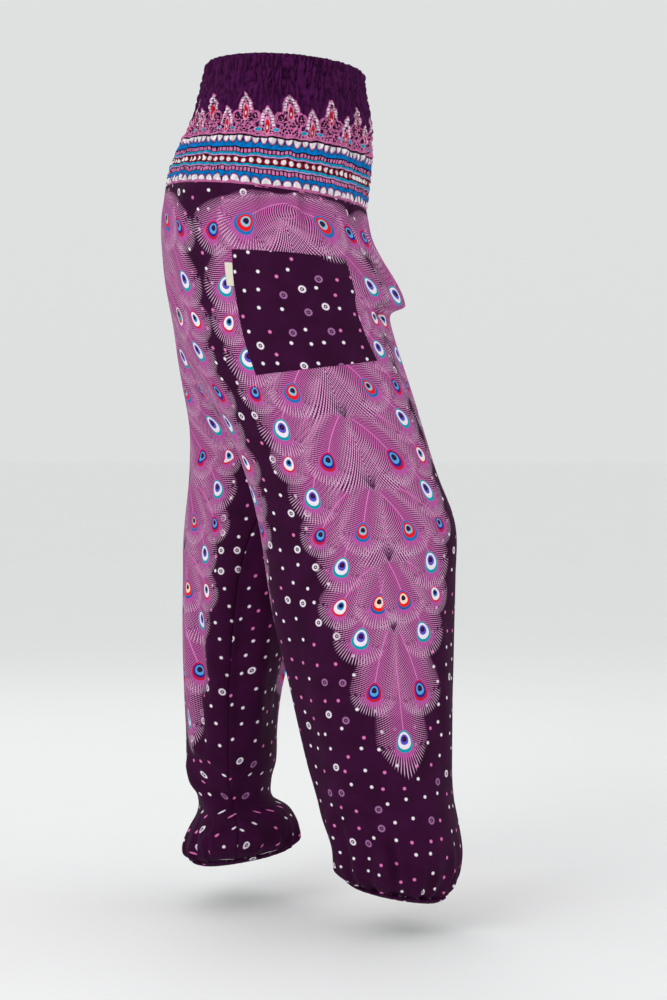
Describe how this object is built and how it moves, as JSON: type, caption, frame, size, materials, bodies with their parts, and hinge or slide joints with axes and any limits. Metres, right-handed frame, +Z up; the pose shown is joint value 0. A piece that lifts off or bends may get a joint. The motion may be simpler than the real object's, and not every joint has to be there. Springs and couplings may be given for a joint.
{
  "type": "harem pants",
  "caption": "Loose harem pants with a wide shirred waistband, a low crotch, gathered ankles and a patch pocket on the hip, in dark purple viscose with a feather print.",
  "frame": {"origin": "centre of the waist opening, level with the middle of its rim", "axes": "+Z up, +X to the wearer's left, -Y to the front"},
  "size_m": [0.4245, 0.3552, 0.9871],
  "materials": {
    "feather_print": "soft sheen, pink feather print on dark purple viscose",
    "border_print": "shirred viscose with a printed border in pink, white, blue and maroon",
    "dotted_ground": "dark purple viscose with small white and pink dots",
    "cream_tape": "matt woven tape"
  },
  "bodies": {
    "root": {"waistband": "border_print", "right_leg": "feather_print", "left_leg": "feather_print", "right_ankle_casing": "dotted_ground", "left_ankle_casing": "dotted_ground", "side_pocket": "dotted_ground", "pocket_tab": "cream_tape"}
  },
  "joints": []
}
